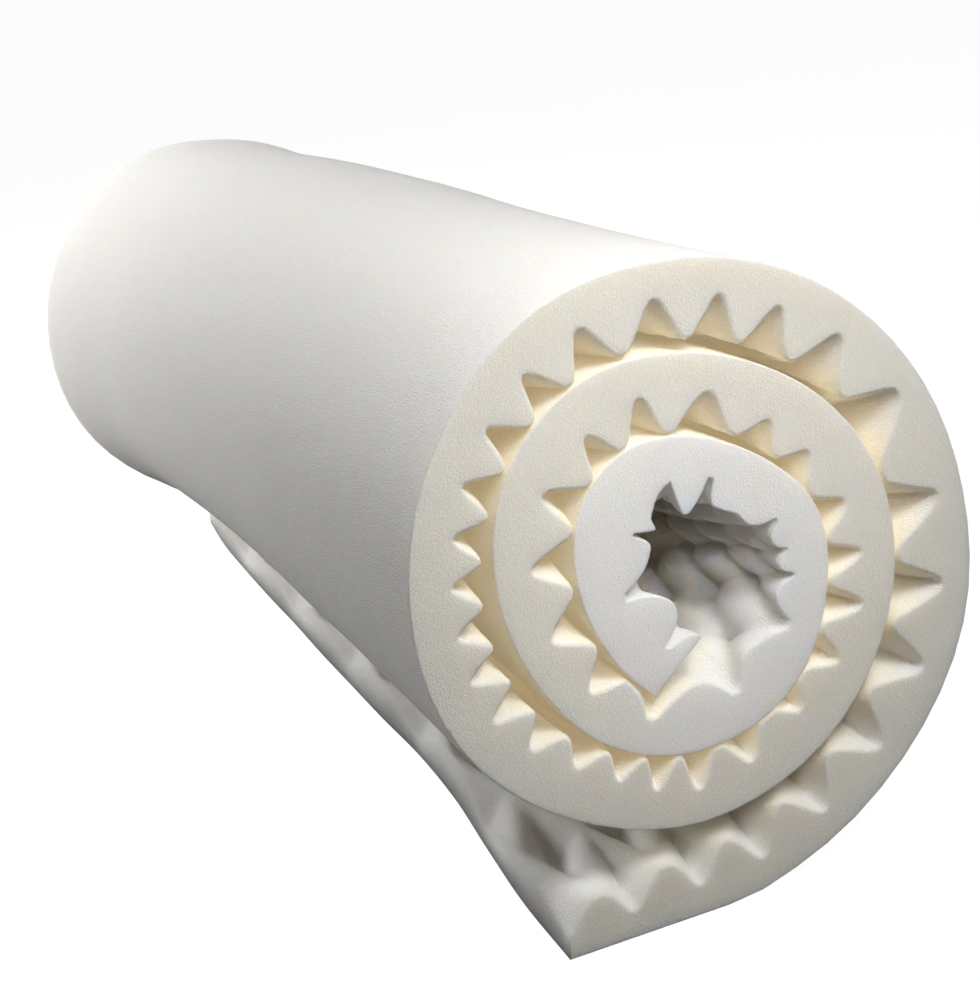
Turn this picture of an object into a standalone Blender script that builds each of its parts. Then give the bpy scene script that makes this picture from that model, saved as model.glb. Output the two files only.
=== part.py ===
"""Rolled foam mattress topper.

One pad of cut foam, smooth on its back and toothed on its face, rolled up with the teeth
inside. The roll lies along Y with its spiral end at -Y. The pad's outer end lies flat on the
floor under the roll, pointing to -X, and its inner end stops in the open core.
Turns are measured in degrees from straight down, towards +X, growing inwards.
"""

import bmesh
import bpy
import numpy as np

MM = 0.001
SHARP_ANGLE = np.radians(40)

# Driving sizes, in mm.
ROLL_LENGTH = 800.0
AXIS_HEIGHT = 200.0
FOAM_THICKNESS = 40.5
FLANK_SHARE = 0.75
LAP_CLEARANCE = 1.6

# Where the pad starts and stops, in degrees of turn, and how many teeth it carries.
FLAP_TURN = -22.0
CORE_TURN = 1061.0
TEETH = 53.5

# How finely the pad is built, and how finely its spiral is followed.
STEPS_PER_TOOTH = 4
SECTION_SAMPLES = 900

# How far along the foam its slant is evened out, in mm, and how the next lap is looked for:
# at least this far on, in degrees, and no further than this to the side, in mm.
SLANT_REACH = 30.0
OWN_LAP_TURN = 200.0
SIDE_REACH = 12.0

# The outer lap has come loose towards the roll's lower left at the far end.
LOOSE_TURN = 340.0
LOOSE_FROM = 165.0
LOOSE_TO = 95.0
LOOSE_POWER = 1.5

# Each lap in steps of 30 degrees: the radius of its smooth back from the roll's axis, the
# teeth passed since the flap's edge, and the foam's thickness at the crests and in the pits.
LAP_STEP = 30.0
FLAP_ROW = (-30, 230.9, -0.9, 26, 12)
OUTER_LAP = (
    # turn, back radius, teeth, crest, pit
    (0, 207, 2.1, 38, 18),
    (30, 196, 4.4, 46, 21),
    (60, 177, 6.3, 43, 15),
    (90, 158, 8, 46, 16),
    (120, 147, 9.2, 42, 17),
    (150, 137, 10.8, 39, 18),
    (180, 139, 12.7, 39, 18),
    (210, 145, 14.4, 42, 20),
    (240, 144, 16.6, 37, 20),
    (270, 144, 19.3, 36, 22),
    (300, 146, 22, 38, 21),
    (330, 145, 24.4, 37, 26),
)
MIDDLE_LAP = (
    # turn, back radius, teeth, crest, pit
    (0, 148, 27.1, 41, 19),
    (30, 143, 28.9, 42, 26),
    (60, 129, 30.8, 41, 18),
    (90, 113, 32.7, 40, 23),
    (120, 99, 34, 38, 25),
    (150, 92, 35.4, 36, 22),
    (180, 95, 36.4, 40, 17),
    (210, 104, 37.7, 45, 24),
    (240, 106, 38.9, 44, 22),
    (270, 101, 40.1, 39, 19),
    (300, 99, 41.3, 34, 18),
    (330, 105, 42.6, 35, 18),
)
INNER_LAP = (
    # turn, back radius, teeth, crest, pit
    (0, 109, 43.6, 38, 23),
    (30, 104, 44.5, 38, 22),
    (60, 87, 45.4, 29, 19),
    (90, 73, 47.4, 29, 23),
    (120, 58, 48.7, 32, 17),
    (150, 52, 48.9, 36, 17),
    (180, 55, 49.8, 40, 24),
    (210, 62, 50.1, 45, 33),
    (240, 64, 50.5, 49, 34),
    (270, 61, 51.6, 40, 28),
    (300, 62, 52.2, 39, 20),
    (330, 71, 53, 40, 22),
)
CORE_ROW = (1080, 88, 54.6, 28, 50)
SPIRAL = np.array([FLAP_ROW, *OUTER_LAP, *MIDDLE_LAP, *INNER_LAP, CORE_ROW], float)
RADIUS, COUNT, CREST, PIT = 1, 2, 3, 4

# One section at each row of teeth, from the spiral end back. Loose is how far the outer lap
# stands off, and tuck is how far the flap's edge is drawn in under the roll.
ROWS = (
    # y, loose, tuck (mm)
    (0, 0, 0),
    (60, 0, 2),
    (122, 0, 8),
    (186, 0, 15),
    (252, 1, 18),
    (316, 1, 17),
    (382, 2, 17),
    (446, 4, 17),
    (514, 7, 18),
    (582, 11, 18),
    (654, 16, 19),
    (726, 25, 21),
    (800, 35, 27),
)


def smooth_curve(values, first, step, at):
    """A smooth curve through evenly spaced values, read at the given places."""
    place = (np.asarray(at) - first) / step
    index = np.clip(place.astype(int), 0, len(values) - 2)
    share = place - index
    values = np.asarray(values, float)
    slopes = np.gradient(values)
    start, end = values[index], values[index + 1]
    rise = (3 - 2 * share) * share**2
    bend_in = share * (1 - share) ** 2
    bend_out = (share - 1) * share**2
    curve = start + (end - start) * rise
    return curve + slopes[index] * bend_in + slopes[index + 1] * bend_out


def along_spiral(column, turns):
    """One column of the laps' tables, read at the given turns."""
    return smooth_curve(SPIRAL[:, column], FLAP_ROW[0], LAP_STEP, turns)


def teeth_to_turns(teeth):
    """The turn at which the given number of teeth has been passed."""
    turns = np.linspace(FLAP_TURN, CORE_TURN, 2 * SECTION_SAMPLES)
    counted = along_spiral(COUNT, turns)
    share = (counted - counted[0]) / (counted[-1] - counted[0])
    return np.interp(np.asarray(teeth) / TEETH, share, turns)


def looseness(turns):
    """Share of the loose outer lap's stand-off at each turn, one at its loosest."""
    reach = np.where(turns < LOOSE_TURN, LOOSE_FROM, LOOSE_TO)
    away = np.clip(np.abs(turns - LOOSE_TURN) / reach, 0, 1)
    return np.cos(np.pi / 2 * away) ** LOOSE_POWER


def back_points(turns, row):
    """The smooth back of the pad in one section, as X and Z from the roll's axis."""
    _, loose, tuck = row
    radius = along_spiral(RADIUS, turns) + loose * looseness(turns)
    angle = np.radians(turns)
    x = radius * np.sin(angle) + tuck * np.clip(turns / FLAP_TURN, 0, 1)
    z = -radius * np.cos(angle)
    return np.stack([x, np.maximum(z, -AXIS_HEIGHT)], axis=1)


def inward(points):
    """Unit vectors from the back into the roll, evened out over a tooth's length of foam."""
    along = np.gradient(points, axis=0)
    along /= np.linalg.norm(along, axis=1)[:, None]
    leaning = np.stack([-along[:, 1], along[:, 0]], axis=1)
    steps = np.linalg.norm(np.diff(points, axis=0), axis=1)
    distance = np.concatenate([[0], np.cumsum(steps)])
    near = np.abs(distance[:, None] - distance[None, :]) < SLANT_REACH
    evened = (near * np.gradient(distance)[None, :]) @ leaning
    return evened / np.linalg.norm(evened, axis=1)[:, None]


def room_inside(points, normals, turns):
    """How far each point can go inwards before it meets the next lap or the pad's inner end."""
    end_face = [points[-1] + normals[-1] * FOAM_THICKNESS * share for share in (0.25, 0.5, 0.75, 1)]
    targets = np.concatenate([points, end_face])
    target_turns = np.concatenate([turns, np.full(len(end_face), turns[-1])])
    offset = targets[None, :, :] - points[:, None, :]
    ahead = np.einsum("ijk,ik->ij", offset, normals)
    aside = np.abs(offset[:, :, 0] * normals[:, None, 1] - offset[:, :, 1] * normals[:, None, 0])
    own_lap = target_turns[None, :] - turns[:, None] < OWN_LAP_TURN
    ahead[own_lap | (aside > SIDE_REACH) | (ahead < 0)] = np.inf
    return np.minimum(ahead.min(axis=1), 10 * FOAM_THICKNESS)


def tooth_share(teeth, row_number):
    """Height of the toothed face, 0 in a pit and 1 on a crest. Each row is set half a tooth on."""
    phase = (teeth + 0.5 * (row_number % 2)) % 1.0
    from_pit = 1 - np.abs(2 * phase - 1)
    return np.interp(from_pit, (0, 0.5, 1), (0, FLANK_SHARE, 1))


def section(row_number):
    """The back and the toothed face of the pad at one row, as two lists of points."""
    row = ROWS[row_number]
    turns = np.linspace(FLAP_TURN, CORE_TURN, SECTION_SAMPLES)
    curve = back_points(turns, row)
    leaning = inward(curve)
    room = room_inside(curve, leaning, turns) - LAP_CLEARANCE
    teeth = np.arange(0, TEETH + 0.01, 1 / STEPS_PER_TOOTH)
    at = teeth_to_turns(teeth)
    normals = np.stack([np.interp(at, turns, leaning[:, axis]) for axis in (0, 1)], axis=1)
    normals /= np.linalg.norm(normals, axis=1)[:, None]
    crest, pit = along_spiral(CREST, at), along_spiral(PIT, at)
    height = pit + (crest - pit) * tooth_share(teeth, row_number)
    height = np.minimum(height, np.interp(at, turns, room))
    back = back_points(at, row)
    face = back + normals * height[:, None]
    y = row[0] - ROLL_LENGTH / 2
    return [[(x, y, z) for x, z in points] for points in (back, face)]


def add_ring(bm, back, face):
    """The vertices of one section: up the back from the flap, then down the face to it."""
    return [bm.verts.new(point) for point in (*back, *reversed(face))]


def cap(bm, ring, facing_near):
    """Closes a section with a strip of faces from its back to its toothed face."""
    last = len(ring) - 1
    for index in range(last // 2):
        strip = (ring[index], ring[index + 1], ring[last - index - 1], ring[last - index])
        bm.faces.new(strip if facing_near else reversed(strip))


def loft(bm, rings):
    for near, far in zip(rings, rings[1:]):
        for index in range(len(near)):
            after = (index + 1) % len(near)
            bm.faces.new((near[index], far[index], far[after], near[after]))


def stand_on_floor(bm):
    """Moves the pad so that its box is centred on the origin and stands on Z = 0, in metres."""
    corners = np.array([vertex.co for vertex in bm.verts])
    low, high = corners.min(axis=0), corners.max(axis=0)
    middle = (low + high) / 2
    base = np.array([middle[0], middle[1], low[2]])
    for vertex in bm.verts:
        vertex.co = (np.array(vertex.co) - base) * MM


def foam_material():
    material = bpy.data.materials.new("cream_foam")
    material.use_nodes = True
    shader = material.node_tree.nodes["Principled BSDF"]
    shader.inputs["Base Color"].default_value = (0.84, 0.80, 0.71, 1)
    shader.inputs["Roughness"].default_value = 0.95
    shader.inputs["Metallic"].default_value = 0.0
    return material


def foam_pad(collection):
    bm = bmesh.new()
    sections = [section(number) for number in range(len(ROWS))]
    rings = [add_ring(bm, back, face) for back, face in sections]
    loft(bm, rings)
    cap(bm, rings[0], facing_near=True)
    cap(bm, rings[-1], facing_near=False)
    stand_on_floor(bm)
    bmesh.ops.recalc_face_normals(bm, faces=bm.faces)
    mesh = bpy.data.meshes.new("foam_pad")
    bm.to_mesh(mesh)
    bm.free()
    mesh.materials.append(foam_material())
    mesh.shade_smooth()
    mesh.set_sharp_from_angle(angle=SHARP_ANGLE)
    pad = bpy.data.objects.new("foam_pad", mesh)
    collection.objects.link(pad)


def main():
    for thing in list(bpy.data.objects):
        bpy.data.objects.remove(thing)
    collection = bpy.data.collections.new("mattress_topper_roll")
    bpy.context.scene.collection.children.link(collection)
    foam_pad(collection)


main()
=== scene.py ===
import math

import bpy
import numpy as np
from mathutils import Matrix, Vector


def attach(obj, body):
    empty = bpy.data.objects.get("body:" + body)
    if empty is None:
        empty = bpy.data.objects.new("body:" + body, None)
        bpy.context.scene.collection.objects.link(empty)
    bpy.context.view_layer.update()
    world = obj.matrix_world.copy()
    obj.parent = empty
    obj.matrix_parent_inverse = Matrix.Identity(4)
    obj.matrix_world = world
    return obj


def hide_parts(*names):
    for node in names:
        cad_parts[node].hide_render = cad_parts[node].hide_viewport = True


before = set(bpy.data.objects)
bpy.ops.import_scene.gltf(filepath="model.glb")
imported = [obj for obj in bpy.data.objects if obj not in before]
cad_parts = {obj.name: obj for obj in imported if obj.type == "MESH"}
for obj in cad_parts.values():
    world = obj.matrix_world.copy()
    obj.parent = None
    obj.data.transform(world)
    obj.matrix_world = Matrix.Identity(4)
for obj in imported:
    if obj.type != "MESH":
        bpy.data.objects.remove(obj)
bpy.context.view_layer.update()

MM = 0.001

# Driving sizes, in mm.
ROLL_LENGTH = 800.0
AXIS_HEIGHT = 200.0
AXIS_X = 4.01
FOAM_THICKNESS = 40.5
LAP_CLEARANCE = 0.6
LAP_BLEND = 2.0

# How far the cut edges are rounded, in mm, in a few rings of points. The teeth of the core,
# from about the 45th on, are rounded less.
BACK_EDGE_ROUNDING = 0.8
TOOTH_EDGE_ROUNDING = 2.2
CORE_EDGE_ROUNDING = 0.9
CORE_TEETH = (45, 46)
ROUNDING_ANGLES = (0, 30, 60, 90)
SHARPEST_CORNER = 0.3

# Where the pad starts and stops, in degrees of turn, and how many teeth it carries.
FLAP_TURN = -22.0
CORE_TURN = 1061.0
TEETH = 53.5

# How finely the pad is built: the back in degrees, the face in shares of a tooth, which are
# split where they are longer than the face's step in degrees.
BACK_STEP = 6.0
FACE_STEP = 6.0
TOOTH_STEPS = (0, 0.05, 0.10, 0.18, 0.28, 0.39, 0.5, 0.61, 0.72, 0.82, 0.90, 0.95)
SECTION_SAMPLES = 900

# How far along the foam its slant is evened out, in mm, and how the next lap is looked for:
# at least this far on, in degrees, and no further than this to the side, in mm.
SLANT_REACH = 30.0
OWN_LAP_TURN = 200.0
SIDE_REACH = 8.0

# The outer lap has come loose towards the roll's lower left at the far end.
LOOSE_TURN = 340.0
LOOSE_FROM = 165.0
LOOSE_TO = 95.0
LOOSE_POWER = 1.5

# Each lap in steps of 30 degrees: the radius of its smooth back from the roll's axis, the
# teeth passed since the flap's edge, and the foam's thickness at the crests and in the pits.
LAP_STEP = 30.0
FLAP_ROW = (-30, 230.9, -0.9, 26, 12)
OUTER_LAP = (
    # turn, back radius, teeth, crest, pit
    (0, 204, 2.1, 38, 18),
    (30, 193, 4.4, 43, 18),
    (60, 180, 6.3, 46, 18),
    (90, 158, 8, 46, 16),
    (120, 144, 9.2, 39, 15),
    (150, 138, 10.8, 40, 18),
    (180, 139, 12.7, 39, 18),
    (210, 145, 14.4, 42, 20),
    (240, 144, 16.6, 37, 20),
    (270, 144, 19.3, 36, 22),
    (300, 146, 22, 38, 21),
    (330, 145, 24.4, 37, 26),
)
MIDDLE_LAP = (
    # turn, back radius, teeth, crest, pit
    (0, 148, 27.1, 41, 19),
    (30, 143, 28.9, 42, 26),
    (60, 129, 30.8, 41, 18),
    (90, 113, 32.7, 40, 23),
    (120, 99, 34, 38, 25),
    (150, 92, 35.4, 36, 22),
    (180, 95, 36.4, 40, 17),
    (210, 104, 37.7, 45, 24),
    (240, 106, 38.9, 44, 22),
    (270, 101, 40.1, 39, 19),
    (300, 99, 41.3, 34, 18),
    (330, 105, 42.6, 35, 18),
)
INNER_LAP = (
    # turn, back radius, teeth, crest, pit
    (0, 109, 43.5, 38, 23),
    (30, 104, 44.4, 38, 22),
    (60, 87, 45.4, 30, 19),
    (90, 73, 47.4, 29, 23),
    (120, 58, 48.6, 32, 16),
    (150, 52, 48.8, 36, 18),
    (180, 55, 49.8, 39, 20),
    (210, 62, 50.1, 36, 33),
    (240, 64, 50.7, 44, 33),
    (270, 61, 51.5, 40, 27),
    (300, 62, 52.1, 39, 20),
    (330, 71, 52.9, 40, 22),
)
CORE_ROW = (1080, 88, 54.6, 28, 50)
SPIRAL = np.array([FLAP_ROW, *OUTER_LAP, *MIDDLE_LAP, *INNER_LAP, CORE_ROW], float)
RADIUS, COUNT, CREST, PIT = 1, 2, 3, 4

# The toothed face from a pit out to the ridge round it: straight flanks, rounded ends.
PIT_PROFILE = (
    # distance, height
    (0.0, 0.0),
    (0.08, 0.02),
    (0.16, 0.10),
    (0.28, 0.28),
    (0.44, 0.52),
    (0.62, 0.77),
    (0.75, 0.91),
    (0.88, 0.98),
    (1.0, 1.0),
)

# Where the inner lap is bent tightly, its crests are rounded knobs with creases between them,
# in closer rows than the other laps show.
KNOB_TEETH = (42.0, 44.5)
KNOB_REACH = 0.86
KNOB_ROWS = 2

# How much higher the crests are, in mm, behind the cut at the spiral end, along the right
# of the core.
SWELL = 6.0
SWELL_TEETH = (42.5, 44.5, 48.0, 49.5)

# The crests are uneven by a millimetre up to the core's teeth, and the rows of pits wander by
# a small share of a tooth.
EVEN_TEETH = (48, 50)
PIT_WANDER = 0.04

# Faces are hemmed in where the next lap is nearer than this, in mm, and the smooth back is
# from the turns at which the next lap out covers it.
# How hemmed in each point is sets where the material paints amber shade and a glow.
HEMMED_REACH = 30.0
COVERED_TURNS = (350, 410)
COVERED_BACK = 0.75

# Rows of teeth from the spiral end back, and how many steps each is built in up to the next.
# Loose is how far the outer lap stands off, tuck how far the flap's edge is drawn in, and
# slump how far the top has sunk.
ROWS = (
    # y, loose, tuck, slump (mm), steps
    (0, 0, 0, 0, 14),
    (60, 0, 2, 1.5, 13),
    (122, 0, 8, 2.6, 10),
    (186, 0, 15, 2.8, 8),
    (252, 1, 18, 2.6, 7),
    (316, 1, 17, 1.8, 7),
    (382, 2, 17, 0.2, 7),
    (446, 4, 17, 0, 7),
    (514, 7, 18, 0, 7),
    (582, 11, 18, 0.6, 7),
    (654, 16, 19, 2.8, 7),
    (726, 25, 21, 3.8, 10),
    (800, 35, 27, 2.4, 0),
)
SLUMP_TURN = 150.0
SLUMP_REACH = 80.0


def smooth_curve(values, first, step, at):
    """A smooth curve through evenly spaced values, read at the given places."""
    place = (np.asarray(at) - first) / step
    index = np.clip(place.astype(int), 0, len(values) - 2)
    share = place - index
    values = np.asarray(values, float)
    slopes = np.gradient(values)
    start, end = values[index], values[index + 1]
    rise = (3 - 2 * share) * share**2
    bend_in = share * (1 - share) ** 2
    bend_out = (share - 1) * share**2
    curve = start + (end - start) * rise
    return curve + slopes[index] * bend_in + slopes[index + 1] * bend_out


def along_spiral(column, turns):
    """One column of the laps' tables, read at the given turns."""
    return smooth_curve(SPIRAL[:, column], FLAP_ROW[0], LAP_STEP, turns)


def teeth_to_turns(teeth):
    """The turn at which the given number of teeth has been passed."""
    turns = np.linspace(FLAP_TURN, CORE_TURN, 2 * SECTION_SAMPLES)
    counted = along_spiral(COUNT, turns)
    share = (counted - counted[0]) / (counted[-1] - counted[0])
    return np.interp(np.asarray(teeth) / TEETH, share, turns)


def looseness(turns):
    """Share of the loose outer lap's stand-off at each turn, one at its loosest."""
    reach = np.where(turns < LOOSE_TURN, LOOSE_FROM, LOOSE_TO)
    away = np.clip(np.abs(turns - LOOSE_TURN) / reach, 0, 1)
    return np.cos(np.pi / 2 * away) ** LOOSE_POWER


def slumping(turns):
    """Share of the slump at each turn, one at its deepest."""
    away = np.clip(np.abs(turns - SLUMP_TURN) / SLUMP_REACH, 0, 1)
    return np.cos(np.pi / 2 * away) ** 2


def back_points(turns, loose, tuck, slump):
    """The smooth back of the pad in one section, as X and Z from the roll's axis."""
    radius = along_spiral(RADIUS, turns) + loose * looseness(turns) - slump * slumping(turns)
    angle = np.radians(turns)
    x = radius * np.sin(angle) + tuck * np.clip(turns / FLAP_TURN, 0, 1)
    z = -radius * np.cos(angle)
    return np.stack([x, np.maximum(z, -AXIS_HEIGHT)], axis=1)


def inward(points):
    """Unit vectors from the back into the roll, evened out over a tooth's length of foam."""
    along = np.gradient(points, axis=0)
    along /= np.linalg.norm(along, axis=1)[:, None]
    leaning = np.stack([-along[:, 1], along[:, 0]], axis=1)
    steps = np.linalg.norm(np.diff(points, axis=0), axis=1)
    distance = np.concatenate([[0], np.cumsum(steps)])
    near = np.abs(distance[:, None] - distance[None, :]) < SLANT_REACH
    evened = (near * np.gradient(distance)[None, :]) @ leaning
    return evened / np.linalg.norm(evened, axis=1)[:, None]


def room_inside(points, normals, turns):
    """How far each point can go inwards before it meets the next lap or the pad's inner end."""
    end_face = [points[-1] + normals[-1] * FOAM_THICKNESS * share for share in (0.25, 0.5, 0.75, 1)]
    targets = np.concatenate([points, end_face])
    target_turns = np.concatenate([turns, np.full(len(end_face), turns[-1])])
    offset = targets[None, :, :] - points[:, None, :]
    ahead = np.einsum("ijk,ik->ij", offset, normals)
    aside = np.abs(offset[:, :, 0] * normals[:, None, 1] - offset[:, :, 1] * normals[:, None, 0])
    own_lap = target_turns[None, :] - turns[:, None] < OWN_LAP_TURN
    ahead[own_lap | (aside > SIDE_REACH) | (ahead < 0)] = np.inf
    return np.minimum(ahead.min(axis=1), 10 * FOAM_THICKNESS)


def tooth_columns():
    """Where along the face its columns of points stand, in teeth, and where its pits are."""
    stepped = [tooth + step for tooth in range(math.ceil(TEETH)) for step in TOOTH_STEPS]
    stepped = [*[column for column in stepped if column < TEETH - 0.01], TEETH]
    columns = [0.0]
    for start, end in zip(stepped, stepped[1:]):
        parts = math.ceil(np.diff(teeth_to_turns([start, end]))[0] / FACE_STEP)
        columns += np.linspace(start, end, parts + 1)[1:].tolist()
    pits = [columns.index(tooth) for tooth in range(math.ceil(TEETH))]
    return np.array(columns), [*pits, len(columns) - 1]


def row_stations():
    """Where across the pad its sections stand: y, row number with its share, and its shape."""
    table = np.array(ROWS)
    places = []
    for number, row in enumerate(ROWS[:-1]):
        places += [number + step / row[4] for step in range(row[4])]
    places = np.array([*places, len(ROWS) - 1.0])
    y = np.interp(places, np.arange(len(ROWS)), table[:, 0])
    shape = [smooth_curve(table[:, column], 0, 1, places) for column in (1, 2, 3)]
    return np.stack([y, places, *shape], axis=1)


def unevenness(teeth, place, seed):
    """Slow, small ups and downs over the foam, between -1 and 1, none at the spiral end."""
    short = np.sin(1.9 * teeth + 2.3 * place + seed)
    long = np.sin(1.1 * teeth - 3.1 * place + 2.7 * seed)
    return 0.5 * (short + long) * min(place, 1.0)


def across_pits(teeth, place):
    """How far each column is from the nearest pit, and from the nearest crest."""
    share = place % 1.0
    half_on = 0.5 * (int(place) % 2)
    shifted = teeth + half_on + PIT_WANDER * unevenness(teeth, place, 1.0)
    across = 1 - np.abs(2 * (shifted % 1.0) - 1)
    from_pit = np.minimum(across + share, 2 - across - share)
    from_crest = np.minimum(np.hypot(1 - across, share), np.hypot(across, 1 - share))
    return from_pit, from_crest


def tooth_height(teeth, place):
    """Height of the toothed face along one section, 0 in the pits and 1 on the crests.

    Each row's pits stand half a tooth on from the last row's, and ridges run between the
    crests of neighbouring rows. In the core the crests turn into knobs.
    """
    distance, _ = across_pits(teeth, place)
    profile = np.array(PIT_PROFILE)
    ridges = np.interp(distance, profile[:, 0], profile[:, 1])
    _, from_crest = across_pits(teeth, KNOB_ROWS * place)
    knobs = np.sqrt(np.maximum(1 - (from_crest / KNOB_REACH) ** 2, 0))
    return ridges + (knobs - ridges) * np.interp(teeth, KNOB_TEETH, (0, 1))


def soft_min(a, b, blend):
    """The lower of two lists of heights, rounded over where they cross."""
    mix = np.clip(0.5 + 0.5 * (b - a) / blend, 0, 1)
    return b * (1 - mix) + a * mix - blend * mix * (1 - mix)


def section(teeth, station):
    """Face of the pad in one section, from its back inwards, and how close its next lap is."""
    _, place, *shape = station
    turns = np.linspace(FLAP_TURN, CORE_TURN, SECTION_SAMPLES)
    curve = back_points(turns, *shape)
    leaning = inward(curve)
    room = room_inside(curve, leaning, turns) - LAP_CLEARANCE
    at = teeth_to_turns(teeth)
    normals = np.stack([np.interp(at, turns, leaning[:, axis]) for axis in (0, 1)], axis=1)
    normals /= np.linalg.norm(normals, axis=1)[:, None]
    crest, pit = along_spiral(CREST, at), along_spiral(PIT, at)
    swollen = SWELL * np.interp(teeth, SWELL_TEETH, (0, 1, 1, 0)) * min(place, 1.0)
    uneven = unevenness(teeth, place, 2.0) * np.interp(teeth, EVEN_TEETH, (1, 0))
    crest = crest + uneven + swollen
    height = pit + (crest - pit) * tooth_height(teeth, place)
    room = np.interp(at, turns, room)
    height = soft_min(height, room, LAP_BLEND)
    face = back_points(at, *shape) + normals * height[:, None]
    return face, room - height


def to_metres(points, y):
    """Points of a section at distance y from the spiral end, in the part's frame."""
    x, z = points[:, 0] + AXIS_X, points[:, 1] + AXIS_HEIGHT
    return np.stack([x, y - ROLL_LENGTH / 2 + np.zeros(len(x)), z], axis=1) * MM


def inset_ring(ring, amounts):
    """A closed ring of points, each drawn in by its own amount towards the ring's inside."""
    before = ring - np.roll(ring, 1, axis=0)
    after = np.roll(ring, -1, axis=0) - ring
    before /= np.linalg.norm(before, axis=1)[:, None]
    after /= np.linalg.norm(after, axis=1)[:, None]
    normal = np.stack([-(before + after)[:, 1], (before + after)[:, 0]], axis=1)
    normal /= np.maximum(np.linalg.norm(normal, axis=1)[:, None], SHARPEST_CORNER)
    area = np.sum(ring[:, 0] * np.roll(ring[:, 1], -1) - np.roll(ring[:, 0], -1) * ring[:, 1])
    return ring + normal * amounts[:, None] * np.sign(area)


def pad_rings(teeth, back_turns):
    """The pad's rings of points from the spiral end back, each up the back and down the face.

    Both cut ends are rounded over by four rings. With each ring goes how hemmed in its
    points are: 0 in the open, 1 where two laps touch.
    """
    stations = row_stations()
    hidden_back = np.interp(back_turns, COVERED_TURNS, (0.0, COVERED_BACK))
    for number, station in enumerate(stations):
        y, _, *shape = station
        face, gap = section(teeth, station)
        ring = np.concatenate([back_points(back_turns, *shape), face[::-1]])
        hemmed = np.concatenate([hidden_back, np.clip(1 - gap / HEMMED_REACH, 0, 1)[::-1]])
        if 0 < number < len(stations) - 1:
            yield to_metres(ring, y), hemmed
            continue
        inwards = 1 if number == 0 else -1
        on_teeth = np.interp(teeth, CORE_TEETH, (TOOTH_EDGE_ROUNDING, CORE_EDGE_ROUNDING))
        rounding = np.concatenate([np.full(len(back_turns), BACK_EDGE_ROUNDING), on_teeth[::-1]])
        for angle in ROUNDING_ANGLES[::inwards]:
            drawn = rounding * (1 - math.sin(math.radians(angle)))
            depth = rounding * (1 - math.cos(math.radians(angle)))
            yield to_metres(inset_ring(ring, drawn), y + inwards * depth), hemmed * angle / 90


def side_faces(ring_count, size):
    """Faces between each ring and the next one back."""
    faces = []
    for number in range(ring_count - 1):
        near = number * size + np.arange(size)
        far = near + size
        faces += np.stack([near, far, np.roll(far, -1), np.roll(near, -1)], axis=1).tolist()
    return faces


def cut_end_faces(first, size, pits, facing_near):
    """One cut end: a face for each tooth, from the back over to the toothed face.

    Pits lists where each pit stands in the ring, as its place on the back and on the face.
    """
    faces = []
    for (back, face), (next_back, next_face) in zip(pits, pits[1:]):
        outside = range(first + back, first + next_back + 1)
        inside = range(first + size - 1 - next_face, first + size - face)
        corners = [*outside, *inside]
        faces.append(corners if facing_near else corners[::-1])
    return faces


def set_attributes(mesh, **columns):
    """Values at each point of the mesh, for its material to read."""
    for name, values in columns.items():
        attribute = mesh.attributes.new(name, "FLOAT", "POINT")
        attribute.data.foreach_set("value", values.astype(np.float32))


def foam_pad():
    """The rolled pad as one closed mesh, smooth on its sides and flat on its cut ends."""
    teeth, in_face = tooth_columns()
    back_turns = np.linspace(FLAP_TURN, CORE_TURN, round((CORE_TURN - FLAP_TURN) / BACK_STEP))
    rings = list(pad_rings(teeth, back_turns))
    size = len(rings[0][0])
    in_back = np.searchsorted(back_turns, teeth_to_turns(teeth[in_face]) - 0.01).tolist()
    pits = list(zip(in_back, in_face))
    faces = side_faces(len(rings), size)
    ends = cut_end_faces(0, size, pits, True)
    ends += cut_end_faces((len(rings) - 1) * size, size, pits, False)
    mesh = bpy.data.meshes.new("foam_pad_rolled")
    mesh.from_pydata(np.concatenate([points for points, _ in rings]).tolist(), [], faces + ends)
    turns = np.concatenate([back_turns, teeth_to_turns(teeth)[::-1]])
    hemmed = np.concatenate([values for _, values in rings])
    set_attributes(mesh, hemmed=hemmed, turn=np.tile(turns, len(rings)))
    mesh.shade_smooth()
    mesh.polygons.foreach_set("use_smooth", [True] * len(faces) + [False] * len(ends))
    mesh.update()
    pad = bpy.data.objects.new("foam_pad_rolled", mesh)
    bpy.context.scene.collection.objects.link(pad)
    return pad


def node(tree, kind, links=(), **values):
    """A new shader node with its settings, its unlinked inputs by name, and its links."""
    made = tree.nodes.new(kind)
    for name, value in values.items():
        setattr(made, name, value)
    for socket, source in dict(links).items():
        if hasattr(source, "links"):
            tree.links.new(source, made.inputs[socket])
        else:
            made.inputs[socket].default_value = source
    return made


def ramp(tree, factor, stops):
    """A colour ramp through (place, colour) stops, read at a factor."""
    made = node(tree, "ShaderNodeValToRGB", {"Fac": factor})
    band = made.color_ramp
    while len(band.elements) < len(stops):
        band.elements.new(1.0)
    for element, (place, colour) in zip(band.elements, stops):
        element.position = place
        element.color = (*colour, 1)
    return made.outputs["Color"]


def mix(tree, factor, first, second, blend="MIX"):
    """Two colours mixed by a factor. Sockets 0, 6 and 7 are the factor and the colours."""
    made = node(tree, "ShaderNodeMix", data_type="RGBA", blend_type=blend)
    for socket, source in ((0, factor), (6, first), (7, second)):
        if hasattr(source, "links"):
            tree.links.new(source, made.inputs[socket])
        else:
            made.inputs[socket].default_value = source
    return made.outputs[2]


def maths(tree, operation, *sources):
    made = node(tree, "ShaderNodeMath", dict(enumerate(sources)), operation=operation)
    return made.outputs[0]


def reach(tree, value, low, high):
    """0 below the low value, 1 above the high one, smooth between."""
    links = {"Value": value, "From Min": low, "From Max": high}
    made = node(tree, "ShaderNodeMapRange", links, interpolation_type="SMOOTHSTEP")
    return made.outputs["Result"]


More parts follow.
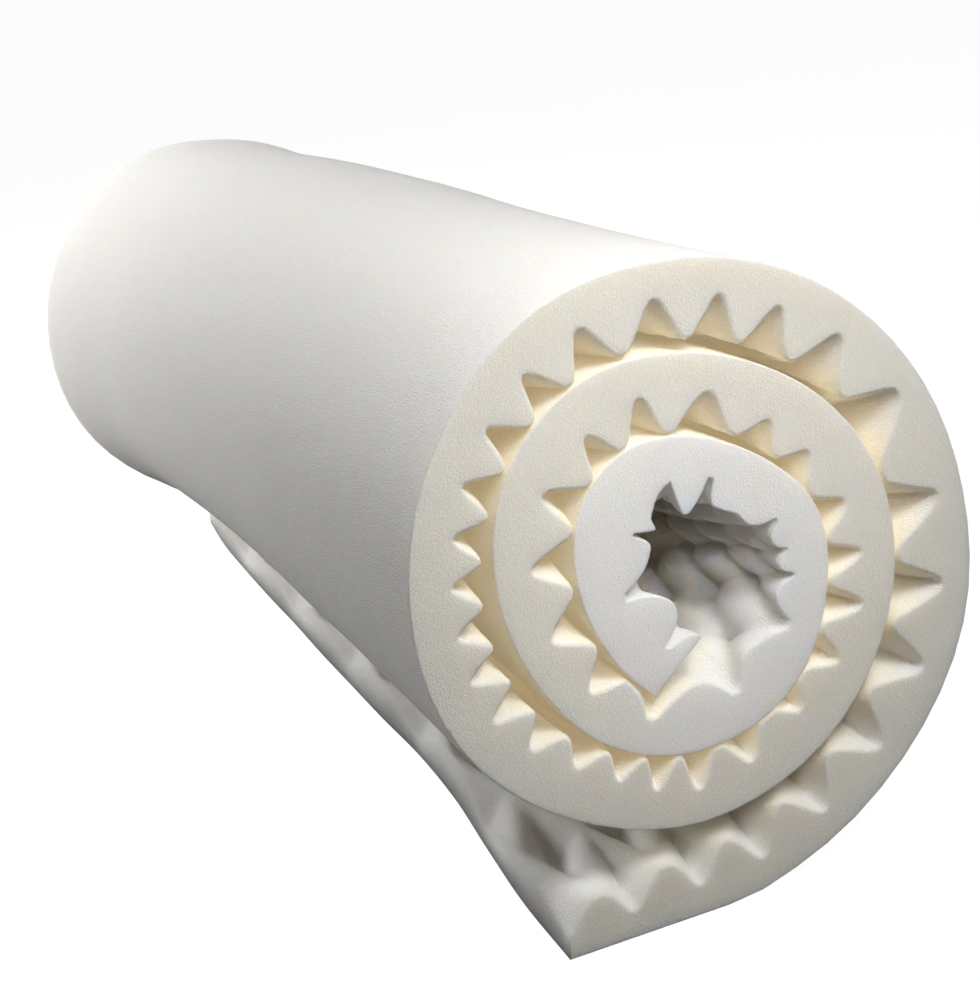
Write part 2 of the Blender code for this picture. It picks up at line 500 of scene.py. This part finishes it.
CREAM = (0.94, 0.905, 0.82, 1)
CREAM_SHADE = (0.91, 0.87, 0.78, 1)
PAINTED_COOL_SIDES = (0.94, 0.915, 0.87, 1)
WHITE_FOAM = (0.97, 0.95, 0.92, 1)
PAINTED_GAP_AMBER = (0.97, 0.84, 0.58, 1)
GLINT_WHITE = (0.98, 0.975, 0.96, 1)

# The inner lap is whiter than the others, past these turns.
WHITE_TURNS = (655.0, 715.0)

# How far the base colour is painted amber where two laps meet, as painted shade for warm light
# bounced in the gaps, how brightly a painted glow shows there, and the turns of the flap over which
# the glow comes to show.
PAINTED_AMBER_SHARE = 0.6
PAINTED_GAP_GLOW = 0.12
GLOW_TURNS = (30.0, 90.0)

# The foam's textures, in cycles for each metre.
CELLS, GRAIN, WINDOWS, WAVES, CLOUDS = 900.0, 1300.0, 750.0, 45.0, 9.0


def noise(tree, place, scale, detail):
    links = {"Vector": place, "Scale": scale, "Detail": detail}
    return node(tree, "ShaderNodeTexNoise", links).outputs["Fac"]


def attribute(tree, name):
    return node(tree, "ShaderNodeAttribute", attribute_name=name).outputs["Fac"]


def foam_colours(tree, coordinates, grain, sparkle):
    """Base colour of the foam, with painted cool light on its sides, painted amber shade and
    painted glints, and the painted glow in its gaps.
    """
    facing = node(tree, "ShaderNodeSeparateXYZ", {0: coordinates["Normal"]}).outputs["Y"]
    hemmed, turn = attribute(tree, "hemmed"), attribute(tree, "turn")
    clouds = noise(tree, coordinates["Object"], CLOUDS, 3.0)
    cut = reach(tree, maths(tree, "ABSOLUTE", facing), 0.6, 0.95)
    colour = mix(tree, reach(tree, clouds, 0.35, 0.7), CREAM, CREAM_SHADE)
    # The back and toothed face, which don't face along the roll, get a paler, cooler cream than the
    # cut ends: painted cool light.
    colour = mix(tree, cut, PAINTED_COOL_SIDES, colour)
    colour = mix(tree, reach(tree, turn, *WHITE_TURNS), colour, WHITE_FOAM)
    # Painted amber shade where two laps meet, standing in for warm light bounced in the gaps.
    colour = mix(tree, maths(tree, "MULTIPLY", hemmed, PAINTED_AMBER_SHARE), colour, PAINTED_GAP_AMBER)
    shading = ramp(tree, grain, ((0.3, (0.9, 0.9, 0.9)), (0.7, (1, 1, 1))))
    colour = mix(tree, 1.0, colour, shading, "MULTIPLY")
    # Cell windows are whitened into specks: painted glints, beside the lower roughness they also
    # get.
    colour = mix(tree, sparkle, colour, GLINT_WHITE)
    # A painted glow where two laps meet, emitted by the foam in place of light seeping through it.
    painted_glow_mask = maths(tree, "MULTIPLY", hemmed, reach(tree, turn, *GLOW_TURNS))
    return colour, mix(tree, painted_glow_mask, (0, 0, 0, 1), PAINTED_GAP_AMBER)


def foam_relief(tree, place, grain):
    """Relief of the foam's cells and grain, over slow waves of the knife's cut."""
    links = {"Vector": place, "Scale": CELLS}
    cells = node(tree, "ShaderNodeTexVoronoi", links).outputs["Distance"]
    fine = maths(tree, "ADD", maths(tree, "MULTIPLY", cells, 0.6), grain)
    slow = maths(tree, "MULTIPLY", noise(tree, place, WAVES, 2.0), 1.5)
    height = maths(tree, "ADD", fine, slow)
    links = {"Height": height, "Strength": 0.8, "Distance": 0.0006}
    return node(tree, "ShaderNodeBump", links).outputs["Normal"]


def foam_material():
    """Open-celled foam: fine cells, a few cell windows with painted glints, painted amber shade and
    a painted glow in the gaps.
    """
    material = bpy.data.materials.new("cream_foam")
    material.use_nodes = True
    tree = material.node_tree
    shader = tree.nodes["Principled BSDF"]
    coordinates = node(tree, "ShaderNodeTexCoord").outputs
    place = coordinates["Object"]
    grain = noise(tree, place, GRAIN, 2.0)
    sparkle = reach(tree, noise(tree, place, WINDOWS, 0.0), 0.74, 0.80)
    colour, glow = foam_colours(tree, coordinates, grain, sparkle)
    rough = maths(tree, "SUBTRACT", 0.95, maths(tree, "MULTIPLY", sparkle, 0.5))
    tree.links.new(colour, shader.inputs["Base Color"])
    # The painted glow goes into the emission.
    tree.links.new(glow, shader.inputs["Emission Color"])
    tree.links.new(rough, shader.inputs["Roughness"])
    tree.links.new(foam_relief(tree, place, grain), shader.inputs["Normal"])
    shader.inputs["Emission Strength"].default_value = PAINTED_GAP_GLOW
    shader.inputs["Specular IOR Level"].default_value = 0.2
    shader.inputs["Subsurface Weight"].default_value = 0.7
    shader.inputs["Subsurface Radius"].default_value = (1.0, 0.85, 0.65)
    shader.inputs["Subsurface Scale"].default_value = 0.012
    return material


# The studio: light from all around, and the floor's own shade and its glow in the picture.
SURROUNDINGS = 0.04
FLOOR_SIZE = 400
FLOOR_SHADE = 0.15
FLOOR_GLOW = 0.97


def floor():
    """A plain pale floor that glows white to the camera, as in a light tent."""
    bpy.ops.mesh.primitive_plane_add(size=FLOOR_SIZE)
    ground = bpy.context.object
    ground.name = "floor"
    material = bpy.data.materials.new("pale_floor")
    material.use_nodes = True
    tree = material.node_tree
    shader = tree.nodes["Principled BSDF"]
    shader.inputs["Base Color"].default_value = (FLOOR_SHADE, FLOOR_SHADE, FLOOR_SHADE, 1)
    shader.inputs["Roughness"].default_value = 1.0
    shader.inputs["Specular IOR Level"].default_value = 0.0
    shader.inputs["Emission Color"].default_value = (1, 1, 1, 1)
    seen = node(tree, "ShaderNodeLightPath").outputs["Is Camera Ray"]
    tree.links.new(maths(tree, "MULTIPLY", seen, FLOOR_GLOW), shader.inputs["Emission Strength"])
    ground.data.materials.append(material)


# Soft lights of the studio, each aimed at a point on the roll.
LIGHTS = (
    # name, place, target, size (m), spread (degrees), power (W)
    ("key", (0.06, -0.81, 0.85), (0.0, -0.4, 0.33), 0.3, 180, 4.7),
    ("fill", (0.75, -1.15, 1.0), (0.0, -0.4, 0.2), 0.6, 180, 2.7),
    ("back_softbox", (0.0, 1.3, 1.7), (0.0, 0.2, 0.2), 1.0, 180, 18.0),
    ("left_softbox", (-0.95, 1.2, 0.6), (0.0, 0.3, 0.2), 0.6, 180, 18.0),
    ("core_light", (-0.18, -0.95, 0.62), (0.02, -0.36, 0.17), 0.08, 30, 0.04),
)


def lights():
    """The studio's lights, in faint surroundings that look white to the camera."""
    for name, place, target, size, spread, power in LIGHTS:
        data = bpy.data.lights.new(name, "AREA")
        data.energy, data.size, data.spread = power, size, math.radians(spread)
        lamp = bpy.data.objects.new(name, data)
        lamp.location = place
        aim = Vector(target) - Vector(place)
        lamp.rotation_euler = aim.to_track_quat("-Z", "Y").to_euler()
        bpy.context.scene.collection.objects.link(lamp)
    world = bpy.data.worlds.new("studio")
    world.use_nodes = True
    tree = world.node_tree
    backdrop = tree.nodes["Background"]
    backdrop.inputs["Color"].default_value = (1, 1, 1, 1)
    seen = node(tree, "ShaderNodeLightPath").outputs["Is Camera Ray"]
    tree.links.new(maths(tree, "MAXIMUM", seen, SURROUNDINGS), backdrop.inputs["Strength"])
    bpy.context.scene.world = world
    bpy.context.scene.view_settings.view_transform = "Standard"


def camera():
    """The camera at the photograph's angle, a little above the roll and to its left."""
    forward = Vector((0.35066325, 0.88294535, -0.31215829)).normalized()
    up = Vector((0.21609535, 0.24804129, 0.94434015)).normalized()
    right = forward.cross(up).normalized()
    up = right.cross(forward)
    data = bpy.data.cameras.new("camera")
    data.lens, data.sensor_width = 63.55, 36
    data.clip_start, data.clip_end = 0.01, 50
    eye = bpy.data.objects.new("camera", data)
    rotation = Matrix((right, up, -forward)).transposed()
    eye.matrix_world = Matrix.Translation((-0.36708, -1.08485, 0.49260)) @ rotation.to_4x4()
    bpy.context.scene.collection.objects.link(eye)
    bpy.context.scene.camera = eye


def main():
    bpy.ops.object.select_all(action="DESELECT")
    pad = foam_pad()
    pad.data.materials.append(foam_material())
    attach(pad, "root")
    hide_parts("foam_pad")
    floor()
    lights()
    camera()


main()
